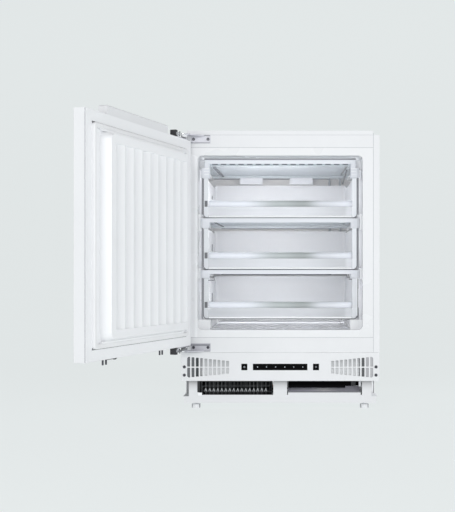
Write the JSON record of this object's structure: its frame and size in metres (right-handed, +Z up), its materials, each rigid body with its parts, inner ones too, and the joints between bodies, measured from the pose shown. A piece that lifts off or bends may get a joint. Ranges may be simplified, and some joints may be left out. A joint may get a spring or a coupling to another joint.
{
  "type": "undercounter freezer",
  "caption": "Built-under freezer with a hinged insulated door, clear-fronted pull-out drawers on evaporator shelves, louvred plinth with touch controls and an open machine base.",
  "frame": {"origin": "on the floor, under the middle of the cabinet's front plane", "axes": "+X to the right seen from the front, +Y back into the cabinet, +Z up; the door opens to -Y and its hinges are on the -X side"},
  "size_m": [0.7913, 1.1181, 0.835],
  "materials": {
    "white_steel": "satin",
    "galvanised": "satin",
    "white_plastic": "satin",
    "liner_plastic": "gloss",
    "foam": "matte",
    "evaporator_metal": "satin",
    "tub_plastic": "satin",
    "clear_plastic": "gloss",
    "grey_plastic": "satin",
    "light_grey_plastic": "matte",
    "black_gloss": "gloss",
    "black_paint": "satin",
    "dark_steel": "satin",
    "bright_steel": "polished",
    "copper_tube": "satin",
    "rubber_black": "matte",
    "gasket_white": "satin"
  },
  "bodies": {
    "cabinet": {"outer_casing": "white_steel", "rear_panel": "galvanised", "rear_spacers": "light_grey_plastic", "top_cross_bar": "white_plastic", "bottom_cross_bar": "white_plastic", "inner_liner": "liner_plastic", "insulation_foam": "foam", "evaporator_shelf_1": "evaporator_metal", "evaporator_shelf_2": "evaporator_metal", "evaporator_shelf_3": "evaporator_metal", "shelf_trims": "white_plastic", "evaporator_risers": "evaporator_metal", "evaporator_clips": "white_plastic", "base_pan": "white_steel", "base_front_beam": "white_steel", "vent_filters": "light_grey_plastic", "plinth_panel": "white_plastic", "plinth_screws": "dark_steel", "display_window": "black_gloss", "control_box": "light_grey_plastic", "condenser_coil": "black_paint", "condenser_wires": "black_paint", "fan_shroud": "grey_plastic", "compressor_shell": "black_paint", "compressor_grommets": "rubber_black", "compressor_relay": "grey_plastic", "filter_drier": "copper_tube", "refrigerant_tubes": "copper_tube", "drip_tray": "grey_plastic", "air_guide": "bright_steel", "mains_inlet": "rubber_black", "hinge_plate_upper": "bright_steel", "hinge_plate_lower": "bright_steel", "hinge_screws": "dark_steel"},
    "door": {"door_panel": "white_steel", "door_foam": "foam", "door_liner": "liner_plastic", "door_gasket": "gasket_white", "fixing_rail": "white_plastic", "fixing_studs": "dark_steel", "hinge_arm_upper": "bright_steel", "hinge_arm_lower": "bright_steel"},
    "link_upper": {"hinge_link_upper": "bright_steel"},
    "link_lower": {"hinge_link_lower": "bright_steel"},
    "drawer_1": {"drawer_1_tub": "tub_plastic", "drawer_1_front": "clear_plastic", "drawer_1_stop": "grey_plastic"},
    "drawer_2": {"drawer_2_tub": "tub_plastic", "drawer_2_front": "clear_plastic", "drawer_2_stop": "grey_plastic"},
    "drawer_3": {"drawer_3_tub": "tub_plastic", "drawer_3_front": "clear_plastic", "drawer_3_stop": "grey_plastic"},
    "rotor": {"fan_rotor": "grey_plastic"},
    "power_key": {"power_button": "black_gloss"},
    "function_key": {"function_button": "black_gloss"},
    "foot_front_left_body": {"foot_front_left": "white_plastic"},
    "foot_front_right_body": {"foot_front_right": "white_plastic"},
    "foot_rear_left_body": {"foot_rear_left": "white_plastic"},
    "foot_rear_right_body": {"foot_rear_right": "white_plastic"}
  },
  "joints": [
    {"name": "door_swing", "type": "hinge", "parent": "cabinet", "child": "door", "pos_m": [-0.2833, -0.0217, 0.497], "axis": [0, 0, -1], "range_deg": [-109.5, 5.5]},
    {"name": "link_upper_turn", "type": "hinge", "parent": "cabinet", "child": "link_upper", "pos_m": [-0.27464, -0.03395, 0.815], "axis": [0, 0, -1], "range_deg": [-109.5, 5.5]},
    {"name": "link_lower_turn", "type": "hinge", "parent": "cabinet", "child": "link_lower", "pos_m": [-0.27464, -0.03395, 0.179], "axis": [0, 0, -1], "range_deg": [-109.5, 5.5]},
    {"name": "drawer_1_slide", "type": "slide", "parent": "cabinet", "child": "drawer_1", "axis": [0, -1, 0], "range_m": [0, 0.3]},
    {"name": "drawer_2_slide", "type": "slide", "parent": "cabinet", "child": "drawer_2", "axis": [0, -1, 0], "range_m": [0, 0.3]},
    {"name": "drawer_3_slide", "type": "slide", "parent": "cabinet", "child": "drawer_3", "axis": [0, -1, 0], "range_m": [0, 0.3]},
    {"name": "power_button_press", "type": "slide", "parent": "cabinet", "child": "power_key", "axis": [0, 1, 0], "range_m": [0, 0.0012], "stiffness_N_per_m": 900},
    {"name": "function_button_press", "type": "slide", "parent": "cabinet", "child": "function_key", "axis": [0, 1, 0], "range_m": [0, 0.0012], "stiffness_N_per_m": 900},
    {"name": "foot_front_left_screw", "type": "slide", "parent": "cabinet", "child": "foot_front_left_body", "axis": [0, 0, -1], "range_m": [-0.005, 0.04]},
    {"name": "foot_front_right_screw", "type": "slide", "parent": "cabinet", "child": "foot_front_right_body", "axis": [0, 0, -1], "range_m": [-0.005, 0.04]},
    {"name": "foot_rear_left_screw", "type": "slide", "parent": "cabinet", "child": "foot_rear_left_body", "axis": [0, 0, -1], "range_m": [-0.005, 0.04]},
    {"name": "foot_rear_right_screw", "type": "slide", "parent": "cabinet", "child": "foot_rear_right_body", "axis": [0, 0, -1], "range_m": [-0.005, 0.04]},
    {"name": "fan_spin", "type": "hinge", "parent": "cabinet", "child": "rotor", "pos_m": [-0.135, 0.157, 0.094], "axis": [0, 1, 0], "continuous": true}
  ],
  "couplings": [
    {"joint": "link_upper_turn", "follows": "door_swing", "ratio": 1},
    {"joint": "link_lower_turn", "follows": "door_swing", "ratio": 1}
  ]
}
